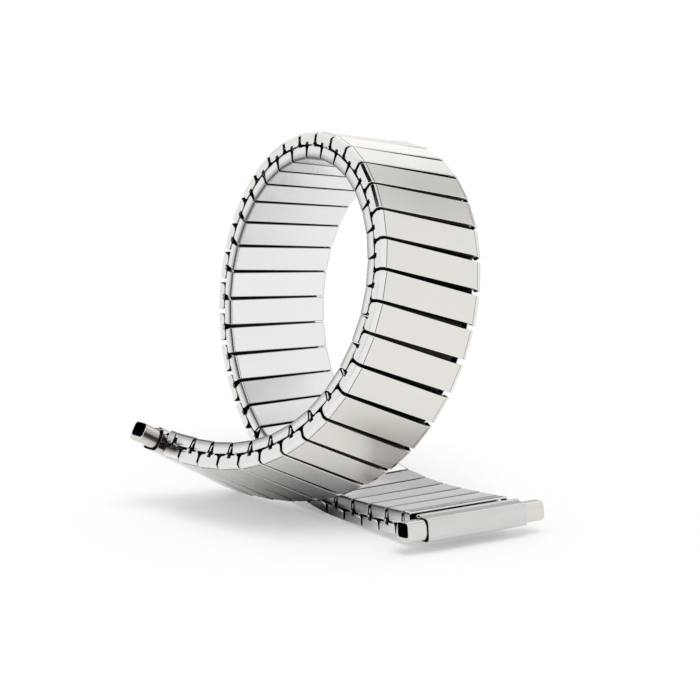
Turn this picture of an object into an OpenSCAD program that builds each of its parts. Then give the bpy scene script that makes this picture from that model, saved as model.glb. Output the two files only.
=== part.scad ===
// Expansion watch band, closed into a loop and lying on its two crossed tails.
// Units are millimetres and +Z is up.
// The origin is the middle of the spring-bar axis at the right end, between its two lug tubes.
// Each row frame has X along the band, Y across it and Z out of its outer face.
// Row frames sit half a pitch apart: even ones carry outer plates, odd ones inner sleeves.

/* [Band] */
// Width over the side flanges
band_w = 16; // [15:0.5:17]
// Distance from one link to the next
pitch = 4.25; // [4.2:0.05:4.3]
// Half of the thickness over both rows
half_t = 1.9; // [1.88:0.01:1.95]
// Gap between the outer row and the inner row
row_gap = 0.16; // [0.15:0.01:0.2]
// Sheet thickness of sleeves and skins
sheet = 0.25; // [0.23:0.01:0.26]

/* [Outer plates] */
// Slot between two outer plates on the mid-surface
plate_slot = 0.26; // [0.24:0.01:0.3]
// Thickness of the plate over its sleeve
plate_t = 0.35; // [0.33:0.01:0.36]
// Corner cut of the side flanges next to the mid-line
flange_corner = 0.5; // [0.4:0.05:0.55]
// Width of the notch in the middle of a flange's free edge
notch_w = 0.8; // [0.6:0.05:0.9]
// Depth of that notch
notch_h = 0.45; // [0.35:0.05:0.55]
// Edge break of the plates' long top edges
plate_edge = 0.12; // [0.08:0.02:0.16]
// Polished bevel along both side edges of a plate
side_bevel = 0.4; // [0.3:0.05:0.45]
// How far a sleeve stops short of its plate at each end
sleeve_trim = 0.075; // [0.065:0.005:0.1]
// Clearance between a plate and the sleeve under it
plate_fit = 0.05; // [0.04:0.01:0.06]

/* [Inner sleeves] */
// Slot between two inner sleeves on the mid-surface
inner_slot = 0.6; // [0.57:0.01:0.65]
// Edge break of the inner sleeves' long edges
inner_edge = 0.25; // [0.2:0.01:0.28]
// Bevel along both side edges of an inner sleeve
inner_bevel = 0.3; // [0.2:0.05:0.35]
// How much an inner side flange narrows towards its free edge, at each end
flange_lean = 0.22; // [0.15:0.01:0.25]

/* [Staples] */
// Width of a staple along the band
staple_w = 0.6; // [0.56:0.01:0.61]
// Thickness of a staple leg
leg_t = 0.18; // [0.16:0.01:0.19]
// Thickness of a staple crown across the band
crown_t = 0.3; // [0.28:0.01:0.31]
// How far the crown of a folding staple bows towards the next link
crown_bow = 0.6; // [0.45:0.05:0.65]
// Radius of the round rod that a folding staple turns on
rod_r = 0.35; // [0.33:0.01:0.35]
// Height of that rod above the mid-surface
rod_z = 0.8125; // [0.805:0.0025:0.82]
// Where the legs stop, from the middle of the band
leg_reach = 4.2; // [4:0.1:4.6]
// Travel of a stretching link
stretch = 1.7; // [1.5:0.05:1.7]

/* [Springs] */
// Half length of a leaf spring across the band
spring_reach = 3.8; // [3.4:0.1:3.9]
// Width of a leaf spring
spring_w = 2.4; // [2:0.1:2.6]
// Thickness of a leaf spring
spring_t = 0.12; // [0.1:0.01:0.14]
// Rise of a leaf spring at its middle
spring_bow = 0.5; // [0.4:0.05:0.55]

/* [Ends] */
// Distance from the last row frame to the spring-bar axis
reach = 4.5; // [4.4:0.05:4.6]
// Side of the lug sleeve's square section
sleeve_side = 3.3; // [3.2:0.05:3.35]
// Corner radius of the lug sleeve
sleeve_round = 0.7; // [0.5:0.05:0.8]
// Side of the lug tubes' square section
tube_side = 2.65; // [2.6:0.01:2.66]
// Corner radius of the lug tubes
tube_round = 0.75; // [0.5:0.05:0.8]
// Radius of the spring-bar bore in the lug tubes
bore_r = 1.08; // [1:0.02:1.1]
// Length of one lug tube
tube_len = 7.8; // [7.2:0.1:7.9]
// How far each lug tube stands out at rest
tube_out = 3; // [2.5:0.1:3]
// Width of the seam along a lug tube
seam = 0.3; // [0.25:0.05:0.5]
// Radius of the round bead along the tongue's edge
bead_r = 0.28; // [0.26:0.01:0.29]
// Gap between the bead and the lip rolled round it
bead_gap = 0.07; // [0.06:0.01:0.08]
// Width of the tongue
tongue_w = 13; // [11:0.5:13.5]
// Length of the bead across the band
bead_w = 15.6; // [14:0.2:15.8]

/* [Lie of the band] */
// Tilt of the right end over the floor, in degrees
rest_tilt = 5.1; // [4.4:0.1:6.4]
// Bend per pitch at chosen links, in degrees
bend_angles = [[0, 0.1], [4, 4.85], [9, 10.35], [35, 10.55], [42, 1.6]];
// Twist per pitch at chosen links, in degrees
twist_angles = [[0, 0], [10, -0.2], [21, -0.6], [32, -1], [42, 1.4]];
// Sideways skew per pitch at chosen links, in degrees
skew_angles = [[0, -1.15], [11, 1.25], [21, -0.15], [31, -1.7], [42, -0.35]];

/* [Hidden] */
$fn = 24;
links = 41;
last = 2 * links + 2;
low = row_gap / 2;
plate_len = pitch - plate_slot;
inner_len = pitch - inner_slot;
flat_half = band_w / 2;
// Layers beside the sleeves, from the middle of the band outward
flange_in = flat_half - sheet;
layer_gap = 0.05;
fixed_out = flange_in - layer_gap;
fixed_in = fixed_out - crown_t;
moving_out = fixed_in - layer_gap;
moving_in = moving_out - crown_t;
sleeve_half = moving_in - 0.1;
// Heights inside the two rows
plate_low = half_t - plate_t;
outer_top = plate_low - plate_fit;
outer_floor = low + sheet;
outer_roof = outer_top - sheet;
skin_top = -half_t + sheet;
inner_roof = -low - sheet;
quarter = pitch / 4;
leg_low = skin_top + 0.05;
fixed_top = outer_roof - 0.1;
// Upper leg of a sliding staple: under the next fixed one, clear of its sleeve over its travel
slide_x = (pitch + stretch) / 2 - 0.315;
slide_low = outer_floor + 0.13;
// End pieces: the bead that the lug sleeve's rolled lip holds
tube_in = tube_side / 2;
sleeve_out = sleeve_side / 2;
wall = 0.25;
cavity = sleeve_out - wall;
lip_r = bead_r + bead_gap + wall;
bead_x = reach - sleeve_out - lip_r + wall;
bead_z = lip_r - sleeve_out;
flat_from = reach - sleeve_out + sleeve_round;
tongue_t = 0.28;
tongue_top = inner_roof - 0.06;
end_len = plate_len - 0.75;
short_end = bead_x - lip_r - 0.15;
short_start = 0.12;
bow_low = leg_low + 0.5;
bow_high = -low - 0.1;

function rot_x(a) = [[1, 0, 0], [0, cos(a), -sin(a)], [0, sin(a), cos(a)]];
function rot_y(a) = [[cos(a), 0, sin(a)], [0, 1, 0], [-sin(a), 0, cos(a)]];
function rot_z(a) = [[cos(a), -sin(a), 0], [sin(a), cos(a), 0], [0, 0, 1]];
function column(m, k) = [m[0][k], m[1][k], m[2][k]];
function unit(v) = v / norm(v);
// Turn from row frame n to the next one
function bent(n) = rot_y(lookup((n - 0.5) / 2, bend_angles) / 2);
function skewed(n) = rot_z(lookup((n - 0.5) / 2, skew_angles) / 2);
function twisted(n) = rot_x(lookup((n - 0.5) / 2, twist_angles) / 2);
function next_turn(q, n) = q * bent(n) * skewed(n) * twisted(n);
function half_step(a, b) = unit(column(a, 0) + column(b, 0)) * pitch / 2;
turns = [for (n = 0, q = rot_y(180 - rest_tilt); n <= last; q = next_turn(q, n), n = n + 1) q];
start = column(turns[0], 0) * reach;
// Step from row frame n to the next one
function step(n) = half_step(turns[n], turns[min(n + 1, last)]);
spots = [for (n = 0, c = start; n <= last; c = c + step(n), n = n + 1) c];

// Places its children in row frame n
module at_row(n) {
    q = turns[n];
    c = spots[n];
    multmatrix([
        [q[0][0], q[0][1], q[0][2], c[0]],
        [q[1][0], q[1][1], q[1][2], c[1]],
        [q[2][0], q[2][1], q[2][2], c[2]],
        [0, 0, 0, 1]
    ]) children();
}

// Block between two corners
module block(a, b) {
    translate(a) cube(b - a);
}

// Square of side a with corners of radius r
module rounded_square(a, r) {
    square([a, a - 2 * r], center = true);
    square([a - 2 * r, a], center = true);
    for (x = [r - a / 2, a / 2 - r], y = [r - a / 2, a / 2 - r]) translate([x, y]) circle(r);
}

// Profile drawn in X and Z, as wide as w across the band
module across(w) {
    rotate([90, 0, 0]) linear_extrude(w, center = true) children();
}

// Profile drawn in Y and Z, running along X from a to b
module along(a, b) {
    translate([a, 0, 0]) rotate([90, 0, 90]) linear_extrude(b - a) children();
}

// Repeats its children on the far and the near side
module both_sides() {
    children();
    mirror([0, 1, 0]) children();
}

// Outer plate from x = a to x = b, with its two side flanges
module plate(a, b) {
    difference() {
        intersection() {
            along(a, b) difference() {
                polygon([
                    [-flat_half, 0],
                    [-flat_half, half_t - side_bevel],
                    [side_bevel - flat_half, half_t],
                    [flat_half - side_bevel, half_t],
                    [flat_half, half_t - side_bevel],
                    [flat_half, 0]
                ]);
                translate([-flange_in, -1]) square([2 * flange_in, plate_low + 1]);
            }
            across(band_w + 1) polygon([
                [a, low + flange_corner],
                [a + flange_corner / 3, low + flange_corner / 3],
                [a + flange_corner, low],
                [b - flange_corner, low],
                [b - flange_corner / 3, low + flange_corner / 3],
                [b, low + flange_corner],
                [b, half_t - plate_edge],
                [b - plate_edge, half_t],
                [a + plate_edge, half_t],
                [a, half_t - plate_edge]
            ]);
        }
        both_sides() block([-notch_w / 2, flange_in - 0.1, 0], [notch_w / 2, flat_half + 1, low + notch_h]);
    }
}

// Flat tube under an outer plate, open at both sides of the band
module outer_sleeve(a, b) {
    difference() {
        block([a, -sleeve_half, low], [b, sleeve_half, outer_top]);
        block([a + sheet, -band_w, outer_floor], [b - sheet, band_w, outer_roof]);
    }
}

// What a leaning flange end leaves out, from its bevel to the mid-line
module leaning_end() {
    polygon([
        [-1, inner_bevel - half_t],
        [0, inner_bevel - half_t],
        [flange_lean, -low],
        [flange_lean, 1],
        [-1, 1]
    ]);
}

// Inner sleeve: a skin with end flanges, and a flat tube on it
module inner_sleeve(a, b) {
    difference() {
        intersection() {
            across(band_w) polygon([
                [a, -half_t + inner_edge],
                [a + inner_edge, -half_t],
                [b - inner_edge, -half_t],
                [b, -half_t + inner_edge],
                [b, -low - inner_edge / 2],
                [b - inner_edge / 2, -low],
                [a + inner_edge / 2, -low],
                [a, -low - inner_edge / 2]
            ]);
            along(a, b) polygon([
                [-flat_half, 0],
                [-flat_half, inner_bevel - half_t],
                [inner_bevel - flat_half, -half_t],
                [flat_half - inner_bevel, -half_t],
                [flat_half, inner_bevel - half_t],
                [flat_half, 0]
            ]);
        }
        block([a + sheet, -sleeve_half - 0.1, skin_top], [b - sheet, sleeve_half + 0.1, inner_roof]);
        both_sides() {
            block([a - 1, sleeve_half, skin_top], [b + 1, flange_in, 1]);
            translate([a, flange_in + 0.9, 0]) across(2) leaning_end();
            translate([b, flange_in + 0.9, 0]) across(2) mirror([1, 0]) leaning_end();
        }
    }
}

// Bowed leaf spring lying in a sleeve at height z
module leaf(x, z) {
    q = spring_reach / 2;
    m = spring_bow * 3 / 4;
    translate([x, 0, z]) along(-spring_w / 2, spring_w / 2) polygon([
        [-2 * q, 0],
        [-q, m],
        [0, spring_bow],
        [q, m],
        [2 * q, 0],
        [2 * q, spring_t],
        [q, m + spring_t],
        [0, spring_bow + spring_t],
        [-q, m + spring_t],
        [-2 * q, spring_t]
    ]);
}

// U-shaped staple that ties a link's own outer and inner sleeve together
module fixed_staple(x) {
    a = x - staple_w / 2;
    b = x + staple_w / 2;
    both_sides() {
        block([a, fixed_in, leg_low], [b, fixed_out, fixed_top]);
        block([a, leg_reach, leg_low], [b, fixed_in + 0.1, leg_low + leg_t]);
        block([a, leg_reach, fixed_top - leg_t], [b, fixed_in + 0.1, fixed_top]);
    }
}

// Staple from this inner sleeve to a round rod in the next outer sleeve, placed in that sleeve
module folding_staple(n) {
    a = quarter - staple_w / 2;
    b = quarter + staple_w / 2;
    at_row(n) both_sides() {
        block([a, leg_reach, leg_low], [b, moving_out, leg_low + leg_t]);
        translate([0, (moving_in + moving_out) / 2, 0]) across(crown_t) polygon([
            [a, leg_low],
            [b, leg_low],
            [b + crown_bow, bow_low],
            [b + crown_bow, bow_high],
            [b, rod_z],
            [a, rod_z],
            [a + crown_bow, bow_high],
            [a + crown_bow, bow_low]
        ]);
    }
    at_row(n + 1) both_sides() translate([-quarter, moving_out, rod_z]) rotate([90, 0, 0])
        cylinder(r = rod_r, h = moving_out - leg_reach);
}

// Staple from this inner sleeve to the next outer sleeve, which slides along its upper leg
module sliding_staple(n) {
    a = quarter - staple_w / 2;
    b = quarter + staple_w / 2;
    c = slide_x - staple_w / 2;
    d = slide_x + staple_w / 2;
    at_row(n) both_sides() {
        block([a, leg_reach, leg_low], [b, moving_out, leg_low + leg_t]);
        translate([0, (moving_in + moving_out) / 2, 0]) across(crown_t) polygon([
            [a, leg_low],
            [b, leg_low],
            [d, slide_low],
            [d, slide_low + leg_t],
            [c, slide_low + leg_t],
            [a, leg_low + leg_t]
        ]);
        block([c, leg_reach, slide_low], [d, moving_out, slide_low + leg_t]);
    }
}

// Outer half of a link in row frame n
module outer_half(n, a, b) {
    at_row(n) {
        plate(a, b);
        outer_sleeve(a + sleeve_trim, b - sleeve_trim);
        leaf((a + b) / 2, outer_floor + 0.04);
    }
}

// Inner half of a link in row frame n, with the staple pair tying it to its outer half
module inner_half(n) {
    at_row(n) {
        inner_sleeve(-inner_len / 2, inner_len / 2);
        leaf(0, skin_top + 0.08);
        fixed_staple(-quarter);
    }
}

// Staple pair towards the next link: folding after even links, stretching after odd ones
module moving_staple(k) {
    if (k % 2 == 0) folding_staple(2 * k + 1);
    else sliding_staple(2 * k + 1);
}

// Link k: an outer plate and sleeve, the inner sleeve half a pitch on, springs and staples
module link(k) {
    color([0.80, 0.78, 0.75]) {
        outer_half(2 * k, -plate_len / 2, plate_len / 2);
        inner_half(2 * k + 1);
        moving_staple(k);
    }
}

// Short inner piece beyond the last inner sleeve, open outward for the tongue, on the side of sign s
module short_piece(s) {
    w = sleeve_half + 0.1;
    scale([s, 1, 1]) difference() {
        inner_sleeve(short_start, short_end);
        block([short_end - sheet - 0.1, -w, skin_top], [short_end + 1, w, inner_roof]);
    }
}

// End plate and sleeve in row frame n, shortened on the side of sign s
module end_half(n, s) {
    cut = plate_len - end_len;
    a = s > 0 ? -plate_len / 2 : cut - plate_len / 2;
    b = s > 0 ? plate_len / 2 - cut : plate_len / 2;
    outer_half(n, a, b);
    at_row(n) short_piece(s);
}

// Right end link: its end plate, the first inner sleeve and the staples between them
module end_link_b() {
    color([0.80, 0.78, 0.75]) {
        end_half(0, -1);
        inner_half(1);
        moving_staple(0);
    }
}

// Left end link: its end plate over the last staple pair
module end_link_a() {
    color([0.80, 0.78, 0.75]) end_half(last, 1);
}

// Places its children so that +X runs outward from an end, in row frame n
module outward(n, s) {
    at_row(n) scale([s, 1, 1]) children();
}

// Bent plate that leaves the short inner piece and carries a round bead along its edge
module tongue(n, s) {
    w = tongue_w / 2;
    root = short_start + sheet + 0.05;
    color([0.72, 0.70, 0.67]) outward(n, s) union() {
        block([root, -w, tongue_top - tongue_t], [bead_x + tongue_t / 2, w, tongue_top]);
        block([bead_x - tongue_t / 2, -w, bead_z], [bead_x + tongue_t / 2, w, tongue_top]);
        translate([bead_x, bead_w / 2, bead_z]) rotate([90, 0, 0]) cylinder(r = bead_r, h = bead_w);
    }
}

// Lug sleeve: a square tube whose edge is rolled into a lip round the tongue's bead
module lug_sleeve(n, s) {
    color([0.83, 0.81, 0.78]) outward(n, s) union() {
        translate([reach, 0, 0]) difference() {
            across(band_w) rounded_square(sleeve_side, sleeve_round);
            across(band_w + 1) rounded_square(2 * cavity, sleeve_round - wall);
        }
        difference() {
            translate([bead_x, band_w / 2, bead_z]) rotate([90, 0, 0])
                cylinder(r = lip_r, h = band_w, $fn = 32);
            translate([bead_x, band_w, bead_z]) rotate([90, 0, 0])
                cylinder(r = bead_r + bead_gap, h = 2 * band_w, $fn = 32);
            block([bead_x - 2, -band_w, bead_z + 0.1], [bead_x + 2, band_w, bead_z + 2]);
            block([reach - cavity - 0.05, -band_w, -cavity], [reach, band_w, cavity]);
        }
        block([bead_x, -band_w / 2, bead_z - lip_r], [flat_from, band_w / 2, bead_z - lip_r + wall]);
    }
}

// Lug tube on the side of sign t, sliding in the lug sleeve, with its seam and round bore
module lug_tube(n, s, t) {
    y0 = flat_half + tube_out - tube_len;
    color([0.70, 0.68, 0.65]) outward(n, s) scale([1, t, 1]) translate([reach, y0, 0]) difference() {
        rotate([-90, 0, 0]) linear_extrude(tube_len) rounded_square(tube_side, tube_round);
        translate([0, -1, 0]) rotate([-90, 0, 0]) cylinder(r = bore_r, h = tube_len + 2, $fn = 48);
        block([-tube_side, -1, -seam / 2], [0, tube_len + 1, seam / 2]);
    }
}

end_link_b();
link(1);  // link_01
link(2);  // link_02
link(3);  // link_03
link(4);  // link_04
link(5);  // link_05
link(6);  // link_06
link(7);  // link_07
link(8);  // link_08
link(9);  // link_09
link(10);  // link_10
link(11);  // link_11
link(12);  // link_12
link(13);  // link_13
link(14);  // link_14
link(15);  // link_15
link(16);  // link_16
link(17);  // link_17
link(18);  // link_18
link(19);  // link_19
link(20);  // link_20
link(21);  // link_21
link(22);  // link_22
link(23);  // link_23
link(24);  // link_24
link(25);  // link_25
link(26);  // link_26
link(27);  // link_27
link(28);  // link_28
link(29);  // link_29
link(30);  // link_30
link(31);  // link_31
link(32);  // link_32
link(33);  // link_33
link(34);  // link_34
link(35);  // link_35
link(36);  // link_36
link(37);  // link_37
link(38);  // link_38
link(39);  // link_39
link(40);  // link_40
link(41);  // link_41
end_link_a();
tongue(0, -1);  // tongue_b
lug_sleeve(0, -1);  // lug_sleeve_b
lug_tube(0, -1, -1);  // tube_front_b
lug_tube(0, -1, 1);  // tube_back_b
tongue(last, 1);  // tongue_a
lug_sleeve(last, 1);  // lug_sleeve_a
lug_tube(last, 1, -1);  // tube_front_a
lug_tube(last, 1, 1);  // tube_back_a
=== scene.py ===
import math
import bpy
import bmesh
from mathutils import Matrix, Vector


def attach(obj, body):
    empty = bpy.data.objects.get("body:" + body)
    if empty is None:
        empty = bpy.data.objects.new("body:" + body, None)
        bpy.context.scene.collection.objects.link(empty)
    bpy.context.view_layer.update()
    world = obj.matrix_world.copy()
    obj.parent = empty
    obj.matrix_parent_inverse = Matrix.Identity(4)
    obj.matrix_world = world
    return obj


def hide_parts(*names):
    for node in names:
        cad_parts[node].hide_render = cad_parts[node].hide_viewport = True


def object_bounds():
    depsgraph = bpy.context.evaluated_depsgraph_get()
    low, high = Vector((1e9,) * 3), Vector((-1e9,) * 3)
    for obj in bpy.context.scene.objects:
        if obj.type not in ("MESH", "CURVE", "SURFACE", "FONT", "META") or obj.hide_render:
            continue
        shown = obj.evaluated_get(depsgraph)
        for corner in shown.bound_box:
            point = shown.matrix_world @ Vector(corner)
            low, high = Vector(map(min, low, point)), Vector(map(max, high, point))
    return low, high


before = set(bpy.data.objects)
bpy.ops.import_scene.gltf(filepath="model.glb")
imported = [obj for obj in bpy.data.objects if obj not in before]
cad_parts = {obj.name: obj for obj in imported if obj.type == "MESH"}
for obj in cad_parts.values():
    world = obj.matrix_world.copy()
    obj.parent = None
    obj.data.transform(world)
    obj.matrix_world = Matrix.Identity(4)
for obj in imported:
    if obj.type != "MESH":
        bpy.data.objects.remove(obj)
cad_low, cad_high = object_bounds()
MM = 0.001

# The band's path, from the same values as the solids. Row frames have X along, Y across and Z outward.
# Even rows hold the outer plates and odd ones the inner sleeves. Shapes are in millimetres until MM scales them.
PITCH, LINKS, REACH, TILT = 4.25, 41, 4.5, 5.1
BEND = [(0, 0.1), (4, 4.85), (9, 10.35), (35, 10.55), (42, 1.6)]
TWIST = [(0, 0), (10, -0.2), (21, -0.6), (32, -1), (42, 1.4)]
SKEW = [(0, -1.15), (11, 1.25), (21, -0.15), (31, -1.7), (42, -0.35)]
LAST = 2 * LINKS + 2


def knot(table, v):
    if v <= table[0][0]:
        return table[0][1]
    for (a, p), (b, q) in zip(table, table[1:]):
        if v <= b:
            return p + (q - p) * (v - a) / (b - a)
    return table[-1][1]


def turn(axis, degrees):
    return Matrix.Rotation(math.radians(degrees), 3, axis)


turns = [turn("Y", 180 - TILT)]
spots = [turns[0].col[0] * REACH]
for n in range(LAST):
    j = (n - 0.5) / 2
    q = turns[-1] @ turn("Y", knot(BEND, j) / 2) @ turn("Z", knot(SKEW, j) / 2) @ turn("X", knot(TWIST, j) / 2)
    spots.append(spots[-1] + (turns[-1].col[0] + q.col[0]).normalized() * PITCH / 2)
    turns.append(q)


def row(n):
    m = turns[n].to_4x4()
    m.translation = spots[n] * MM
    return m


# Lines: 2D paths that are bent, rounded and given a thickness
MOST = 0.45                     # the largest share of a length that one rounding takes


def clamp(v):
    return max(0.0, min(1.0, v))


def offsets(path, t):
    """The lines half of t to the left and to the right of the path."""
    left, right = [], []
    for i, p in enumerate(path):
        a = Vector(path[max(i - 1, 0)])
        b = Vector(path[min(i + 1, len(path) - 1)])
        p = Vector(p)
        if 0 < i < len(path) - 1:
            d = ((p - a).normalized() + (b - p).normalized()).normalized()
            k = max(0.5, d.dot((b - p).normalized()))
        else:
            d = (b - a).normalized()
            k = 1.0
        normal = Vector((-d.y, d.x))
        left.append(p + normal * t / 2 / k)
        right.append(p - normal * t / 2 / k)
    return left, right


def skin_of(path, t):
    """The path as a sheet's outer line, and its inner line t to the left."""
    left, right = offsets(path, t)
    return [Vector(p) for p in path], [Vector(p) + a - b for p, a, b in zip(path, left, right)]


def arc(s, p, e, steps):
    """Points of the curve that leaves s towards p and comes to e from p."""
    shares = [k / steps for k in range(steps + 1)]
    return [s * (1 - f) ** 2 + p * 2 * f * (1 - f) + e * f * f for f in shares]


def round_corners(path, r, steps=4):
    out = [Vector(path[0])]
    for i in range(1, len(path) - 1):
        a, p, b = Vector(path[i - 1]), Vector(path[i]), Vector(path[i + 1])
        u, w = (a - p), (b - p)
        cut = min(r, u.length * MOST, w.length * MOST)
        out += arc(p + u.normalized() * cut, p, p + w.normalized() * cut, steps)
    out.append(Vector(path[-1]))
    return out


def corner_rounded(path, radii, steps=8):
    """The path with chosen corners rounded by their own radius."""
    out = [path[0]]
    for i in range(1, len(path) - 1):
        p = Vector(path[i])
        if i not in radii:
            out.append(p)
            continue
        u, w = Vector(path[i - 1]) - p, Vector(path[i + 1]) - p
        s = p + u.normalized() * min(radii[i], u.length * 0.95)
        e = p + w.normalized() * min(radii[i], w.length * 0.95)
        out += arc(s, p, e, steps)
    return out + [path[-1]]


def ends_refined(path, corner):
    """The path with extra points near both ends, where the sheet's corners are rounded."""
    near = 1e-4
    marks = [corner * s for s in (0.06, 0.2, 0.4, 0.65, 1.0)]

    def half(points):
        out, length = [Vector(points[0])], 0.0
        for a, b in zip(points, points[1:]):
            a, b = Vector(a), Vector(b)
            d = (b - a).length
            for m in marks:
                if length + near < m < length + d - near:
                    out.append(a + (b - a) * (m - length) / d)
            out.append(b)
            length += d
        return out
    return half(half(path)[::-1])[::-1]


def divided(path, step):
    """The path with its long segments cut into even pieces."""
    out = [Vector(path[0])]
    for a, b in zip(path, path[1:]):
        a, b = Vector(a), Vector(b)
        n = max(1, math.ceil((b - a).length / step))
        out += [a + (b - a) * k / n for k in range(1, n + 1)]
    return out


def both_sides(line):
    """A line that ends on the mid-line, with its mirror image after it."""
    return line + [(-y, z) for y, z in line[-2::-1]]


def ellipse(x, z, rx, rz, degrees):
    return [(x + rx * math.cos(math.radians(d)), z + rz * math.sin(math.radians(d))) for d in degrees]


def circle(count):
    """Cosines and sines all round."""
    angles = [2 * math.pi * i / count for i in range(count)]
    return [(math.cos(a), math.sin(a)) for a in angles]


# Sheets: bent strips, each a pair of lines in one plane drawn out along u, with rounded edges.
# A sheet's rings have 12 points each. The faces between two rings are counted from the left edge's outer corner.
OUTER_FACE, INNER_FACE, WALL_FACES = 2, 8, (0, 4, 5, 6, 7, 9, 10, 11)
ROUND = 0.29                    # how far a rounding's middle point lies in, as a share of its size


def sheet(bm, outer, inner, u0, u1, place, edge, corner=0.0, finish=0, strip=None, shift=None, taper=None,
          back=None, closed=False, walls=None):
    """outer and inner are 2D lines of as many points; place(p, u) gives the 3D point in millimetres.

    edge rounds the cut edges and corner the sheet's four corners. taper(p) narrows both sides and shift[i] slides
    them along u. The materials are strip(i) on the outer face, back on the inner one, walls on the cut edges along
    the finish parts, all but the rounding at the outer face, and finish on the rest.
    """
    mid = [(Vector(a) + Vector(b)) / 2 for a, b in zip(outer, inner)]
    run = [0.0]
    for a, b in zip(mid, mid[1:]):
        run.append(run[-1] + (b - a).length)
    rings = []
    last = len(outer) - 1
    for i, (o, s) in enumerate(zip(outer, inner)):
        o, s = Vector(o), Vector(s)
        t = (s - o).length
        near = min(run[i], run[-1] - run[i])
        c = corner - math.sqrt(max(corner ** 2 - (corner - near) ** 2, 0)) if near < corner else 0.0
        if taper:
            c += taper(o)
        e = min(edge, t * MOST)
        tip = i in (0, last) and not closed
        d0, d1 = (e, t - e) if tip else (0.0, t)
        k = min(e * 0.3 if tip else e, (d1 - d0) * MOST)
        h = ROUND * k
        a, b = u0 + c, u1 - c
        x = shift[i] if shift else 0.0
        loop = [(a, d0 + k), (a + h, d0 + h), (a + k, d0), (b - k, d0), (b - h, d0 + h), (b, d0 + k),
                (b, d1 - k), (b - h, d1 - h), (b - k, d1), (a + k, d1), (a + h, d1 - h), (a, d1 - k)]
        n = (s - o).normalized()
        rings.append([bm.verts.new([v * MM for v in place(o + n * d, u + x)]) for u, d in loop])
    count = len(rings[0])
    for i in range(last + 1 if closed else last):
        a, b = rings[i], rings[(i + 1) % len(rings)]
        for k in range(count):
            f = bm.faces.new((a[k], a[(k + 1) % count], b[(k + 1) % count], b[k]))
            f.material_index = finish
            if k == OUTER_FACE and strip is not None:
                f.material_index = strip(i)
            if k == INNER_FACE and back is not None:
                f.material_index = back
            if k in WALL_FACES and walls is not None and (strip is None or strip(i) == finish):
                f.material_index = walls
    if not closed:
        bm.faces.new(rings[0][::-1]).material_index = finish
        bm.faces.new(rings[-1]).material_index = finish


def in_yz(p, u):
    return (u, p[0], p[1])


def in_xz(p, u):
    return (p[0], u, p[1])


def join_rings(bm, rings, finish):
    """A round bar of rings of points, capped at both ends."""
    count = len(rings[0])
    for p, q in zip(rings, rings[1:]):
        for i in range(count):
            bm.faces.new((p[i], p[(i + 1) % count], q[(i + 1) % count], q[i])).material_index = finish
    for ring in (rings[0], rings[-1]):
        bm.faces.new(ring).material_index = finish


# Meshes and objects
SHARP = math.radians(30)


def mesh_of(name, bm):
    mesh = bpy.data.meshes.new(name)
    bm.to_mesh(mesh)
    bm.free()
    return mesh


def linked(name, data):
    ob = bpy.data.objects.new(name, data)
    bpy.context.scene.collection.objects.link(ob)
    return ob


def cook(ob):
    graph = bpy.context.evaluated_depsgraph_get()
    return bpy.data.meshes.new_from_object(ob.evaluated_get(graph), preserve_all_data_layers=True, depsgraph=graph)


def shaped(name, build, mats, notch=None):
    """Mesh with rounded edges shaded by face area, so its flats stay flat; notch is a mesh to cut away."""
    bm = bmesh.new()
    build(bm)
    bmesh.ops.recalc_face_normals(bm, faces=bm.faces)
    mesh = mesh_of(name, bm)
    for m in mats:
        mesh.materials.append(m)
    ob = linked(name, mesh)
    if notch:
        cutter = linked(name + "_cut", notch)
        cut = ob.modifiers.new("notch", "BOOLEAN")
        cut.operation = "DIFFERENCE"
        cut.solver = "EXACT"
        cut.object = cutter
        cooked = cook(ob)
        ob.modifiers.clear()
        ob.data = cooked
        bpy.data.objects.remove(cutter)
    bm = bmesh.new()
    bm.from_mesh(ob.data)
    for f in bm.faces:
        f.smooth = True
    for e in bm.edges:
        e.smooth = not (len(e.link_faces) == 2 and e.calc_face_angle(0) > SHARP)
    bm.to_mesh(ob.data)
    bm.free()
    even = ob.modifiers.new("even", "WEIGHTED_NORMAL")
    even.weight = 90
    even.keep_sharp = True
    mesh = cook(ob)
    mesh.name = name
    bpy.data.objects.remove(ob)
    return mesh


def piece(name, mesh, body, n, mats=()):
    """An object in the frame of row n; mesh is a mesh, or a function that builds one of the materials mats."""
    if callable(mesh):
        mesh = shaped(name, mesh, mats)
    ob = linked(name, mesh)
    ob.matrix_world = row(n)
    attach(ob, body)
    return ob


# Materials
def feed(nt, made, values):
    """Fills a node's inputs: a socket is linked, and anything else is set."""
    for key, value in values.items():
        if isinstance(value, bpy.types.NodeSocket):
            nt.links.new(value, made.inputs[key])
        else:
            made.inputs[key].default_value = value


def noise(nt, where, values):
    made = nt.nodes.new("ShaderNodeTexNoise")
    feed(nt, made, {"Vector": where, **values})
    return made.outputs["Fac"]


def scaled(nt, where, scale):
    made = nt.nodes.new("ShaderNodeMapping")
    feed(nt, made, {"Vector": where, "Scale": scale})
    return made.outputs["Vector"]


def ranged(nt, value, at, to):
    """The value's run between the two numbers of at, laid on the two numbers of to."""
    made = nt.nodes.new("ShaderNodeMapRange")
    feed(nt, made, {"Value": value, "From Min": at[0], "From Max": at[1], "To Min": to[0], "To Max": to[1]})
    return made.outputs["Result"]


def multiplied(nt, colour, shade):
    made = nt.nodes.new("ShaderNodeMix")
    made.data_type = "RGBA"
    made.blend_type = "MULTIPLY"
    feed(nt, made, {"Factor": 1.0, "A": colour, "B": shade})
    return made.outputs["Result"]


def object_place(nt):
    return nt.nodes.new("ShaderNodeTexCoord").outputs["Object"]


def object_axis(nt, axis):
    made = nt.nodes.new("ShaderNodeSeparateXYZ")
    feed(nt, made, {0: object_place(nt)})
    return made.outputs[axis]


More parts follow.
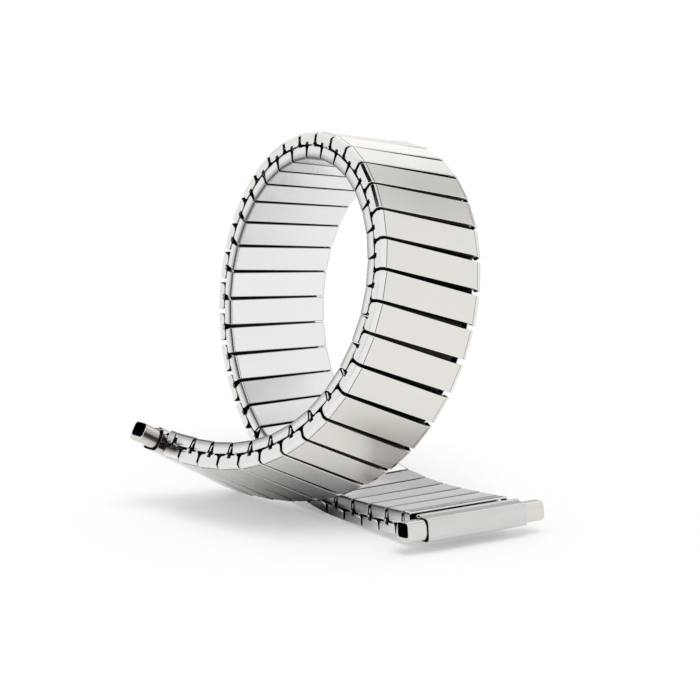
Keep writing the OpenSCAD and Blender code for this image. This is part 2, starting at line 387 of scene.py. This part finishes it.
def bare(name):
    """A material with an output alone, with its node tree and that output."""
    m = bpy.data.materials.new(name)
    m.use_nodes = True
    m.node_tree.nodes.clear()
    return m, m.node_tree, m.node_tree.nodes.new("ShaderNodeOutputMaterial")


def glow_of(nt, values):
    made = nt.nodes.new("ShaderNodeEmission")
    feed(nt, made, values)
    return made.outputs[0]


NOISE_RANGE = (0.3, 0.7)


def steel(name, colour, rough, spread, streak, bump, tint=0.03):
    """Brushed across the band. streak is the grain's count per metre along the band and across it.

    The colour varies by the share tint with the grain, and the roughness by spread in wide clouds.
    """
    m = bpy.data.materials.new(name)
    m.use_nodes = True
    nt = m.node_tree
    along, across = streak
    where = object_place(nt)
    grain = noise(nt, scaled(nt, where, (along, across, along)), {"Scale": 1.0, "Detail": 3.0, "Roughness": 0.6})
    cloud = noise(nt, where, {"Scale": 160.0, "Detail": 2.0})
    dent = nt.nodes.new("ShaderNodeBump")
    feed(nt, dent, {"Strength": bump, "Distance": 0.00002, "Height": grain})
    feed(nt, nt.nodes["Principled BSDF"], {
        "Metallic": 1.0,
        "Base Color": multiplied(nt, (*colour, 1), ranged(nt, grain, NOISE_RANGE, (1.0 - tint, 1.0 + tint))),
        "Roughness": ranged(nt, cloud, NOISE_RANGE, (rough - spread, rough + spread)),
        "Normal": dent.outputs["Normal"],
    })
    return m


def graded(m, z0, share, z1):
    """Paints shade into a steel: darkens it to the given share of its colour at the height z0, back to full at z1.
    """
    nt = m.node_tree
    bsdf = nt.nodes["Principled BSDF"]
    was = bsdf.inputs["Base Color"].links[0].from_socket
    shade = ranged(nt, object_axis(nt, "Z"), (z0, z1), (share, 1.0))
    feed(nt, bsdf, {"Base Color": multiplied(nt, was, shade)})
    return m


BRUSHED = steel("plate_brushed", (0.77, 0.745, 0.71), 0.30, 0.03, (6500, 120), 0.15, tint=0.012)
POLISHED = steel("plate_polished", (0.82, 0.80, 0.78), 0.12, 0.03, (1500, 260), 0.03, tint=0.01)
SIDE = steel("side_satin", (0.78, 0.76, 0.74), 0.22, 0.04, (900, 900), 0.05, tint=0.02)
INNER = steel("inner_polished", (0.84, 0.82, 0.82), 0.20, 0.04, (3600, 120), 0.06, tint=0.01)
# Painted shade: near-black steel for faces that lie in shade. It covers the plates' undersides, slot walls and
# groove floors, the flat tubes under the plates and inside the sleeves, and the tongues
PAINTED_SHADE = steel("painted_shade_steel", (0.035, 0.034, 0.033), 0.5, 0.06, (1200, 500), 0.1)
# The inner sleeves' side flanges: painted shade, darker towards the inner face
INNER_SIDE_SHADED = steel("inner_side_painted_shade", (0.78, 0.76, 0.74), 0.22, 0.04, (900, 900), 0.05, tint=0.02)
graded(INNER_SIDE_SHADED, -0.0016, 0.45, -0.0009)
# The a end plate's side flanges: painted shade, nearly black near the mid-line
END_SIDE_SHADED = steel("end_side_painted_shade", (0.80, 0.76, 0.73), 0.2, 0.04, (900, 900), 0.05, tint=0.02)
graded(END_SIDE_SHADED, 0.0005, 0.06, 0.0013)
SHADE = steel("bevel_shade", (0.13, 0.125, 0.12), 0.25, 0.05, (900, 900), 0.05)
WIRE = steel("staple_steel", (0.80, 0.79, 0.77), 0.32, 0.05, (1400, 500), 0.1)
SPRING = steel("leaf_steel", (0.22, 0.215, 0.21), 0.3, 0.05, (1800, 300), 0.1)
ENDS = steel("end_satin", (0.80, 0.775, 0.74), 0.22, 0.05, (700, 120), 0.08)
# The b end's lug sleeve is the a end's steel, painted darker as shade
LIT_AND_SHADED_SLEEVES = {
    "a": ENDS,
    "b": steel("sleeve_satin", (0.65, 0.635, 0.615), 0.22, 0.05, (700, 120), 0.08),
}
TUBES = steel("tube_satin", (0.70, 0.675, 0.64), 0.20, 0.05, (900, 160), 0.08)
# Painted shade: black for the insides of the lug sleeves and tubes, and for the sleeves' cut ends
INSIDE_SHADE = steel("tube_inside", (0.02, 0.019, 0.018), 0.5, 0.08, (900, 300), 0.1)

# A sheet names its materials by their places in these lists
OUTER_MATS = [BRUSHED, POLISHED, SIDE, PAINTED_SHADE]
INNER_MATS = [INNER, POLISHED, INNER_SIDE_SHADED, PAINTED_SHADE, SHADE]
STAPLE_MATS = [SPRING, WIRE]

# Outer plate: side flanges, polished bevel and strip, fine groove with painted shade in it, brushed centre
HALF_WIDTH, TOP = 8.0, 1.9      # from the band's middle to the flanges' sides, and to both rows' faces
FOOT = 0.13                     # from the mid-line to the flanges' cut edges
HALF_PLATE, HALF_INNER = 1.995, 1.825       # along the band
PLATE_LEAN, TAIL_LEAN, LOOP_LEAN = 0.12, 0.27, 0.06     # how much flanges narrow at each side: inner ones last


def plate_lines():
    grow = [0.0, 0.027, 0.09, 0.18, 0.29, 0.45]
    under = 1.58
    outer = [(HALF_WIDTH, FOOT + g) for g in grow] + [
        (HALF_WIDTH, 1.44), (7.99, 1.47), (7.965, 1.5), (7.65, 1.815), (7.62, 1.838), (7.585, 1.85),
        (7.28, 1.86), (7.26, 1.82), (7.22, 1.82), (7.2, 1.885), (7.17, TOP), (4.0, TOP), (0.0, TOP)]
    inner = [(7.72, FOOT + g) for g in grow] + [
        (7.72, 1.34), (7.715, 1.36), (7.7, 1.38), (7.52, 1.56), (7.5, 1.575), (7.47, under),
        (7.28, under), (7.26, under), (7.22, under), (7.2, under), (7.17, under), (4.0, under), (0.0, under)]
    return both_sides(outer), both_sides(inner)


PLATE_OUT, PLATE_IN = plate_lines()


def middle(line, i):
    """The middle of a line's segment i, as its distance from the mid-plane and its height."""
    (y0, z0), (y1, z1) = line[i], line[i + 1]
    return abs(y0 + y1) / 2, (z0 + z1) / 2


# Material 3, painted shade, fills the groove's floor
def plate_finish(i):
    y, z = middle(PLATE_OUT, i)
    if z < 1.485:
        return 2
    if y < 7.21:
        return 0
    return 3 if y < 7.265 else 1


def plate(bm, a, b):
    """Its side flanges narrow towards the mid-line, so the slots between plates open there."""
    narrow = lambda p: PLATE_LEAN * clamp((1.52 - p.y) / 0.3)
    # Its underside and its slot walls are drawn in painted shade (material 3)
    sheet(bm, PLATE_OUT, PLATE_IN, a, b, in_yz, 0.11, corner=0.5, finish=2, strip=plate_finish, taper=narrow,
          back=3, walls=3)


# The sleeves' flat tubes
TUBE_WALL, TUBE_ROUND, TUBE_HALF = 0.23, 0.3, 6.95


def tube(bm, a, b, low, high, finish):
    """Closed flat tube with rounded corners, its wall a sheet whose ends meet under it."""
    mid, t = (a + b) / 2, TUBE_WALL / 2
    a, b, low, high = a + t, b - t, low + t, high - t
    ring = [(mid, low), (b, low), (b, high), (a, high), (a, low), (mid - 0.02, low)]
    left, right = offsets(round_corners(ring, TUBE_ROUND), TUBE_WALL)
    sheet(bm, right, left, -TUBE_HALF, TUBE_HALF, in_xz, 0.06, finish=finish)


def outer_tube(bm, a, b):
    tube(bm, a + 0.075, b - 0.075, 0.08, 1.5, 0)


# Inner sleeve: skin with folded side flanges over a flat tube
def skin_lines():
    grow = [0.0, 0.03, 0.1, 0.22, 0.4]
    under = -1.66
    outer = [(HALF_WIDTH, -FOOT - g) for g in grow] + [
        (HALF_WIDTH, -1.6), (7.95, -1.74), (7.83, -1.85), (7.68, -1.895), (7.5, -TOP), (4.0, -TOP), (0.0, -TOP)]
    inner = [(7.74, -FOOT - g) for g in grow] + [
        (7.74, -1.56), (7.72, -1.61), (7.68, -1.65), (7.62, under), (7.5, under), (4.0, under), (0.0, under)]
    return both_sides(outer), both_sides(inner)


SKIN_OUT, SKIN_IN = skin_lines()


def skin_finish(i):
    z = middle(SKIN_OUT, i)[1]
    return 2 if z > -1.62 else 4 if z > -1.86 else 1 if z > -1.899 else 0


def inner_sleeve(bm, lean):
    """Its side flanges narrow towards the mid-line too, by lean at each side."""
    narrow = lambda p: lean * clamp((p.y + 1.8) / 0.4)
    # Its inner face, its slot walls and its flat tube are drawn in painted shade (material 3)
    sheet(bm, SKIN_OUT, SKIN_IN, -HALF_INNER, HALF_INNER, in_yz, 0.16, corner=0.36, finish=2, strip=skin_finish,
          taper=narrow, back=3, walls=3)
    tube(bm, 0.02 - HALF_INNER, HALF_INNER - 0.02, -1.84, -0.08, 3)


def leaf(bm, x, z):
    """Leaf spring, bowed outward from z."""
    half, rise, thick, wide = 3.8, 0.5, 0.12, 1.2
    across = [half - 0.38 * k for k in range(21)]
    left, right = offsets([(y, z + thick / 2 + rise * (1 - (y / half) ** 2)) for y in across], thick)
    sheet(bm, left, right, x - wide, x + wide, in_yz, 0.03, corner=0.5)


# Staples: the fixed one of each link, and the one that folds on a rod or stretches into the next link
STAPLE, STAPLE_HALF, STAPLE_ROUND = 0.18, 0.3, 0.3
LEG_IN, LEG_LOW = 4.2, -1.6
FIXED_OUT, FREE_OUT = 7.7, 7.35
FIXED_TOP, STRETCH_TOP, STRETCH_TO, FOLD_BOW = 1.15, 0.645, 2.66, 0.6
HOOK, HOOK_TILT, HOOK_NARROW, HOOK_BULGE = -0.82, 0.2, 0.19, 0.22
ROD_Z, ROD_R, ROD_SIDES = 0.8125, 0.34, 20
QUARTER = PITCH / 4


def hook_share(z):
    return clamp(min((z + 1.42) / 0.28, (-0.25 - z) / 0.3))


def staple(bm, x, y_out, high, lean=0.0, bow=0.0, hooked=False, round_leg=False):
    """U-shaped staple in the plane across the band: two legs run inward from one crown.

    The crown leans by lean from its lower leg to its upper one, or bows out by bow half-way. A hooked one swings
    out on its lower half, where it is narrow. With a round leg it has no upper one, because a rod takes its place.
    """
    low, top = LEG_LOW + STAPLE / 2, high - STAPLE / 2
    for s in (1, -1):
        side = s * (y_out - STAPLE / 2)
        path = [(s * LEG_IN, low), (side, low), (side, top)]
        if not round_leg:
            path.append((s * LEG_IN, top))
        path = round_corners(path, STAPLE_ROUND, 5)
        path = divided(ends_refined(path, 0.3), 0.12 if hooked else 0.3)
        if hooked:
            bulge = lambda y, z: HOOK_BULGE * clamp((hook_share(z) - 0.7) / 0.3) if abs(y) > y_out - 0.3 else 0.0
            path = [Vector((y + s * bulge(y, z), z)) for y, z in path]
        shift = []
        for y, z in path:
            f = clamp((z - LEG_LOW - STAPLE / 2) / (high - LEG_LOW - STAPLE))
            swing = hook_share(z) * (HOOK + HOOK_TILT * (z + 0.9)) if hooked else 0.0
            shift.append(lean * f + bow * math.sin(math.pi * f) ** 0.8 + swing)
        narrow = (lambda p: HOOK_NARROW * hook_share(p.y)) if hooked else None
        left, right = offsets(path, STAPLE)
        sheet(bm, left, right, x - STAPLE_HALF, x + STAPLE_HALF, in_yz, 0.07, corner=0.25, finish=1, shift=shift,
              taper=narrow)


def rod(bm, matrix):
    """The round legs that a folding staple turns on."""
    ends = ((LEG_IN, 0.55), (LEG_IN + 0.05, 0.85), (LEG_IN + 0.14, 1.0))
    outer_ends = ((FREE_OUT - 0.14, 1.0), (FREE_OUT - 0.05, 0.85), (FREE_OUT, 0.55))
    for s in (1, -1):
        rings = []
        for y, k in ends + outer_ends:
            points = [Vector((ROD_R * k * c - QUARTER, s * y, ROD_Z + ROD_R * k * d)) for c, d in circle(ROD_SIDES)]
            rings.append([bm.verts.new(matrix @ (p * MM)) for p in points])
        join_rings(bm, rings, 1)


def in_loop(k):
    """The links bent so far that their inner slots are nearly closed."""
    return 9 < k < 33


def works(bm, k):
    """Staples and leaf springs of link k, drawn in the inner sleeve's frame."""
    n = 2 * k + 1
    leaf(bm, 0.0, -1.57)
    staple(bm, -QUARTER, FIXED_OUT, FIXED_TOP, hooked=not in_loop(k))
    if k % 2 == 0:
        staple(bm, QUARTER, FREE_OUT, ROD_Z, bow=FOLD_BOW, round_leg=True)
        rod(bm, row(n).inverted() @ row(n + 1))
    else:
        staple(bm, QUARTER, FREE_OUT, STRETCH_TOP, lean=STRETCH_TO - QUARTER)


def notch_mesh():
    """What is cut from both side flanges of a plate: a block at each side, rounded above, in metres."""
    y, size = 0.00795, (0.0008, 0.0008, 0.00106)
    bm = bmesh.new()
    for s in (1, -1):
        place = Matrix.Translation((0.0, s * y, 0.0)) @ Matrix.Diagonal((*size, 1.0))
        made = bmesh.ops.create_cube(bm, size=1.0, matrix=place)["verts"]
        upper = {e for v in made for e in v.link_edges if min(w.co.z for w in e.verts) > 0 and
                 abs(e.verts[0].co.y - e.verts[1].co.y) > 0.0001}
        bmesh.ops.bevel(bm, geom=list(upper), offset=0.00012, segments=3, affect="EDGES", profile=0.5)
    bmesh.ops.recalc_face_normals(bm, faces=bm.faces)
    return mesh_of("notch", bm)


# Links
LEAF_Z = 0.38
notch = notch_mesh()
plate_mesh = shaped("plate", lambda bm: plate(bm, -HALF_PLATE, HALF_PLATE), OUTER_MATS, notch)
# The flat tube under each plate is drawn in painted shade
tube_mesh = shaped("tube", lambda bm: outer_tube(bm, -HALF_PLATE, HALF_PLATE), [PAINTED_SHADE])
inner_mesh = shaped("inner", lambda bm: inner_sleeve(bm, TAIL_LEAN), INNER_MATS)
loop_mesh = shaped("inner_loop", lambda bm: inner_sleeve(bm, LOOP_LEAN), INNER_MATS)
leaf_mesh = shaped("leaf", lambda bm: leaf(bm, 0.0, LEAF_Z), [SPRING])

for k in range(1, LINKS + 1):
    name = "link_%02d" % k
    outer = piece("plate_%02d" % k, plate_mesh, name, 2 * k)
    piece("tube_%02d" % k, tube_mesh, name, 2 * k)
    piece("leaf_%02d" % k, leaf_mesh, name, 2 * k)
    piece("sleeve_%02d" % k, loop_mesh if in_loop(k) else inner_mesh, name, 2 * k + 1)
    piece("staples_%02d" % k, lambda bm: works(bm, k), name, 2 * k + 1, STAPLE_MATS)
    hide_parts(name)

# End links, their tongues, and the lug sleeves with their tubes. They are drawn for the band's a end;
# s is -1 at the b end, where everything is mirrored along the band.
CUT = 0.75                                  # how much shorter the end plates are
BEAD_X, BEAD_Z, BEAD_R, BEAD_SIDES = 2.5, -1.05, 0.28, 24


def short_inner(bm, s):
    """Short inner piece: the skin's side flanges, with a web above and a wider skin below."""
    low, high = sorted((s * 0.3, s * 1.6))
    thin = [(y, z + 0.02) for y, z in SKIN_IN]
    # Its slot walls are drawn in painted shade (material 3)
    sheet(bm, SKIN_OUT, thin, low, high, in_yz, 0.12, corner=0.3, finish=2, strip=skin_finish, walls=3)
    for half, z, t, end, finish in ((6.9, -0.2, 0.24, 1.4, 2), (7.86, -1.79, 0.22, 1.78, 0)):
        left, right = offsets(ends_refined([(-half, z), (half, z)], 0.2), t)
        low, high = sorted((s * 0.12, s * end))
        sheet(bm, right, left, low, high, in_yz, 0.07, corner=0.2, finish=finish)


def tongue(bm, s, place):
    path = round_corners([(0.42, -0.575), (BEAD_X, -0.575), (BEAD_X, BEAD_Z)], 0.3)
    left, right = offsets(path, 0.26)
    sheet(bm, left, right, -6.5, 6.5, place, 0.06, finish=1)
    rings = []
    for y, k in ((-7.25, 0.6), (-7.15, 1.0), (7.15, 1.0), (7.25, 0.6)):
        points = [(s * (BEAD_X + BEAD_R * k * c), y, BEAD_Z + BEAD_R * k * d) for c, d in circle(BEAD_SIDES)]
        rings.append([bm.verts.new([v * MM for v in p]) for p in points])
    join_rings(bm, rings, 0)


def lug(bm, place):
    """Square tube with a crowned top, the lip rolled from it round the bead, and a roll along its inner edge."""
    top = [(-1.65, 0.02), (-1.65, -1.65), (-1.0, -1.65), (-0.5, -1.645), (0.0, -1.625), (0.5, -1.59), (1.0, -1.54)]
    rest = [(1.65, -1.5), (1.65, 1.65), (-1.65, 1.65), (-1.65, 0.04)]
    loop = corner_rounded([(REACH + x, z) for x, z in top + rest], {1: 0.9, 7: 0.95, 8: 0.9, 9: 0.9})
    # The inner faces of the sleeve, lip and roll, and the sleeve's cut ends, are drawn in painted shade
    sheet(bm, *skin_of(loop, 0.2), -HALF_WIDTH, HALF_WIDTH, place, 0.05, back=1, closed=True, walls=1)
    lip = ellipse(BEAD_X, BEAD_Z, 0.49, 0.49, range(168, 271, 12))
    lip.append((REACH - 0.9, lip[-1][1]))
    left, right = offsets(lip, 0.2)
    sheet(bm, right, left, -7.15, 7.15, place, 0.07, back=1)
    left, right = offsets(ellipse(3.9, -1.67, 0.5, 0.17, range(0, 361, 15)), 0.12)
    sheet(bm, right, left, -8.02, 8.02, place, 0.04, back=1)


def lug_tube(bm, place, side):
    """Its mouth sits off centre, over a thicker floor."""
    r, gap, wall = 1.385, 0.01, 0.15
    loop = [(-r, gap), (-r, r), (r, r), (r, -r), (-r, -r), (-r, -gap)]
    h, roof, base = r - wall, r - 0.7, 0.09 - r
    hole = [(-h, gap), (-h, roof), (h, roof), (h, base), (-h, base), (-h, -gap)]
    lines = []
    for line, radius in ((loop, 1.0), (hole, 0.55)):
        line = [(REACH + x, z) for x, z in line]
        lines.append(corner_rounded(line, {i: radius for i in (1, 2, 3, 4)}, 10))
    y0, y1 = sorted((side * 3.2, side * 11.0))
    # Its inside is drawn in painted shade
    sheet(bm, *lines, y0, y1, place, 0.05, back=1, closed=True)


def end_link(tag, name, n, s):
    place = lambda p, u: (s * p[0], u, p[1])
    a, b = sorted((s * -HALF_PLATE, s * (HALF_PLATE - CUT)))
    mesh = shaped("plate_end", lambda bm: plate(bm, a, b), OUTER_MATS, notch)
    # The a end's side flanges take painted shade
    if tag == "a":
        mesh.materials[2] = END_SIDE_SHADED
    outer = piece("plate_end_" + tag, mesh, name, n)
    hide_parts(name)
    # The end plate's tube is drawn in painted shade too
    piece("tube_end_" + tag, lambda bm: outer_tube(bm, a, b), name, n, [PAINTED_SHADE])
    piece("sleeve_end_" + tag, lambda bm: short_inner(bm, s), name, n, INNER_MATS)
    piece("leaf_end_" + tag, lambda bm: leaf(bm, s * -CUT / 2, LEAF_Z), name, n, [SPRING])
    if tag == "b":
        piece("sleeve_00", inner_mesh, name, 1)
        piece("staples_00", lambda bm: works(bm, 0), name, 1, STAPLE_MATS)

    # The tongue's sheet is drawn in painted shade; its bead keeps the end steel
    ob = piece("end_tongue_" + tag, lambda bm: tongue(bm, s, place), name, n, [ENDS, PAINTED_SHADE])
    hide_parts("tongue_" + tag)
    ob = piece("end_sleeve_" + tag, lambda bm: lug(bm, place), "lug_sleeve_" + tag, n,
               [LIT_AND_SHADED_SLEEVES[tag], INSIDE_SHADE])
    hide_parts("lug_sleeve_" + tag)
    for where, side in (("front", -1), ("back", 1)):
        body = "tube_%s_%s" % (where, tag)
        ob = piece("lug_" + body, lambda bm: lug_tube(bm, place, side), body, n, [TUBES, INSIDE_SHADE])
        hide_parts(body)


end_link("b", "end_link_b", 0, -1)
end_link("a", "end_link_a", LAST, 1)

# Floor, studio cards and light
floor_z = cad_low.z
MIDDLE = Vector((-0.02, 0.0, 0.035))


def flat(name, size, centre, facing=(0, 0, 1)):
    bm = bmesh.new()
    bmesh.ops.create_grid(bm, x_segments=2, y_segments=2, size=0.5)
    for v in bm.verts:
        v.co = Vector((v.co.x * size[0], v.co.y * size[1], 0))
    ob = linked(name, mesh_of(name, bm))
    ob.location = centre
    ob.rotation_mode = "QUATERNION"
    ob.rotation_quaternion = Vector(facing).to_track_quat("Z", "Y")
    return ob


def direction(azimuth, elevation):
    a, e = math.radians(azimuth), math.radians(elevation)
    return Vector((math.cos(e) * math.cos(a), math.cos(e) * math.sin(a), math.sin(e)))


def seen_by_gloss_only(ob):
    ob.visible_camera = False
    ob.visible_diffuse = False
    ob.visible_shadow = False
    ob.visible_transmission = False
    ob.visible_volume_scatter = False


def card(name, centre, target, size, ramp_from, ramp_to, shade=0.0, up=False, squash=1.0):
    """A studio card that only reflections see: of one shade, and clear by ramp_to's share at ramp_to's place.

    The ramp runs over the distance from the card's middle, squashed along its height, or over its height
    where up is true.
    """
    ob = flat(name, size, centre, target - centre)
    seen_by_gloss_only(ob)
    m, nt, out = bare(name)
    if up:
        run = object_axis(nt, "Y")
    else:
        length = nt.nodes.new("ShaderNodeVectorMath")
        length.operation = "LENGTH"
        feed(nt, length, {0: scaled(nt, object_place(nt), (1.0, squash, 1.0))})
        run = length.outputs["Value"]
    mix = nt.nodes.new("ShaderNodeMixShader")
    feed(nt, mix, {
        "Fac": ranged(nt, run, (ramp_from[0], ramp_to[0]), (ramp_from[1], ramp_to[1])),
        1: glow_of(nt, {"Color": (1, 1, 1, 1), "Strength": shade}),
        2: nt.nodes.new("ShaderNodeBsdfTransparent").outputs[0],
    })
    feed(nt, out, {"Surface": mix.outputs[0]})
    ob.data.materials.append(m)


def strip_card():
    """A graded strip that the left end's tube mirrors, in the end link's row frame."""
    x, y0, y1, z = 2.6, -11.4, -7.9, 1.5
    bm = bmesh.new()
    bm.faces.new([bm.verts.new(Vector(v) * MM) for v in ((x, y0, -z), (x, y1, -z), (x, y1, z), (x, y0, z))])
    ob = linked("card_strip", mesh_of("card_strip", bm))
    ob.matrix_world = row(LAST)
    seen_by_gloss_only(ob)
    m, nt, out = bare("card_strip")
    tones = nt.nodes.new("ShaderNodeValToRGB")
    steps = [(0.0, 0.9), (0.35, 0.55), (0.46, 0.03), (0.6, 0.08), (0.76, 0.7), (1.0, 0.9)]
    while len(tones.color_ramp.elements) < len(steps):
        tones.color_ramp.elements.new(0.5)
    for stop, (at, v) in zip(tones.color_ramp.elements, steps):
        stop.position = at
        stop.color = (v, v * 0.97, v * 0.95, 1)
    feed(nt, tones, {"Fac": ranged(nt, object_axis(nt, "Z"), (-z * MM, z * MM), (0.0, 1.0))})
    feed(nt, out, {"Surface": glow_of(nt, {"Color": tones.outputs["Color"]})})
    ob.data.materials.append(m)


floor = flat("floor", (8, 8), (0, 0, floor_z))
white = bpy.data.materials.new("floor_white")
white.use_nodes = True
feed(white.node_tree, white.node_tree.nodes["Principled BSDF"], {
    "Base Color": (0.70, 0.70, 0.70, 1),
    "Roughness": 0.9,
    "Specular IOR Level": 0.0,
    "Emission Color": (1, 1, 1, 1),
    "Emission Strength": 0.31,
})
floor.data.materials.append(white)

# Each card stands off the row, or the place in the loop, whose plates mirror it
spot = spots[53] * MM
card("card_above", spot + direction(96, 45) * 0.045, spot, (0.06, 0.024), (0.011, 0.66), (0.02, 1.0), squash=0.5)
card("card_edge", spot + direction(-120, 66) * 0.1, spot, (0.07, 0.07), (0.023, 0.0), (0.03, 1.0))
card("card_front", MIDDLE + direction(-77, 8) * 0.25, MIDDLE, (0.12, 0.17), (0.06, 0.0), (0.085, 1.0))
spot = Vector((-0.010, 0.0, 0.0265))
card("card_low", spot + direction(147, 0) * 0.12, spot, (0.2, 0.057), (-0.0285, 0.8), (0.0285, 0.35), up=True)
spot = spots[50] * MM
card("card_bright", spot + direction(138, 24) * 0.15, spot, (0.12, 0.12), (0.03, 0.0), (0.06, 1.0), shade=1.25)
# A black disc on the floor, seen only in reflections: painted shadow under the crossing
spot = Vector((-0.027, -0.006, floor_z + 0.0004))
card("card_floor_painted_shadow", spot, spot + Vector((0, 0, 1)), (0.036, 0.036), (0.005, 0.05), (0.016, 1.0))
strip_card()

# White for the camera, mirrors and glass, and a little dimmer as light
world = bpy.data.worlds.new("studio")
bpy.context.scene.world = world
world.use_nodes = True
nt = world.node_tree
rays = nt.nodes.new("ShaderNodeLightPath").outputs
seen = rays["Is Camera Ray"]
for kind in ("Is Glossy Ray", "Is Transmission Ray"):
    either = nt.nodes.new("ShaderNodeMath")
    either.operation = "MAXIMUM"
    feed(nt, either, {0: seen, 1: rays[kind]})
    seen = either.outputs[0]
feed(nt, nt.nodes["Background"], {
    "Strength": ranged(nt, seen, (0.0, 1.0), (0.7, 1.0)),
    "Color": (1, 1, 1, 1),
})

sun = bpy.data.lights.new("sun", "SUN")
sun.energy = 1.15
sun.angle = math.radians(34)
sun_ob = linked("sun", sun)
sun_ob.visible_glossy = False
sun_ob.rotation_mode = "QUATERNION"
sun_ob.rotation_quaternion = direction(-17, 60).to_track_quat("Z", "Y")

# The photograph's camera: 2616.58 pixels of focal length in a picture of 700
SENSOR = 36.0
camera = bpy.data.cameras.new("camera")
camera.sensor_width = SENSOR
camera.lens = SENSOR * 2616.58 / 700.0
camera.clip_start, camera.clip_end = 0.01, 20.0
cam = linked("camera", camera)
right = Vector((0.528659, 0.848807, -0.006761))
down = Vector((0.157949, -0.106195, -0.98172))
ahead = Vector((-0.834009, 0.517927, -0.190209))
cam.matrix_world = Matrix((
    (right.x, -down.x, -ahead.x, 0.280629),
    (right.y, -down.y, -ahead.y, -0.193293),
    (right.z, -down.z, -ahead.z, 0.089425),
    (0, 0, 0, 1),
))
bpy.context.scene.camera = cam
bpy.context.scene.view_settings.view_transform = "Standard"
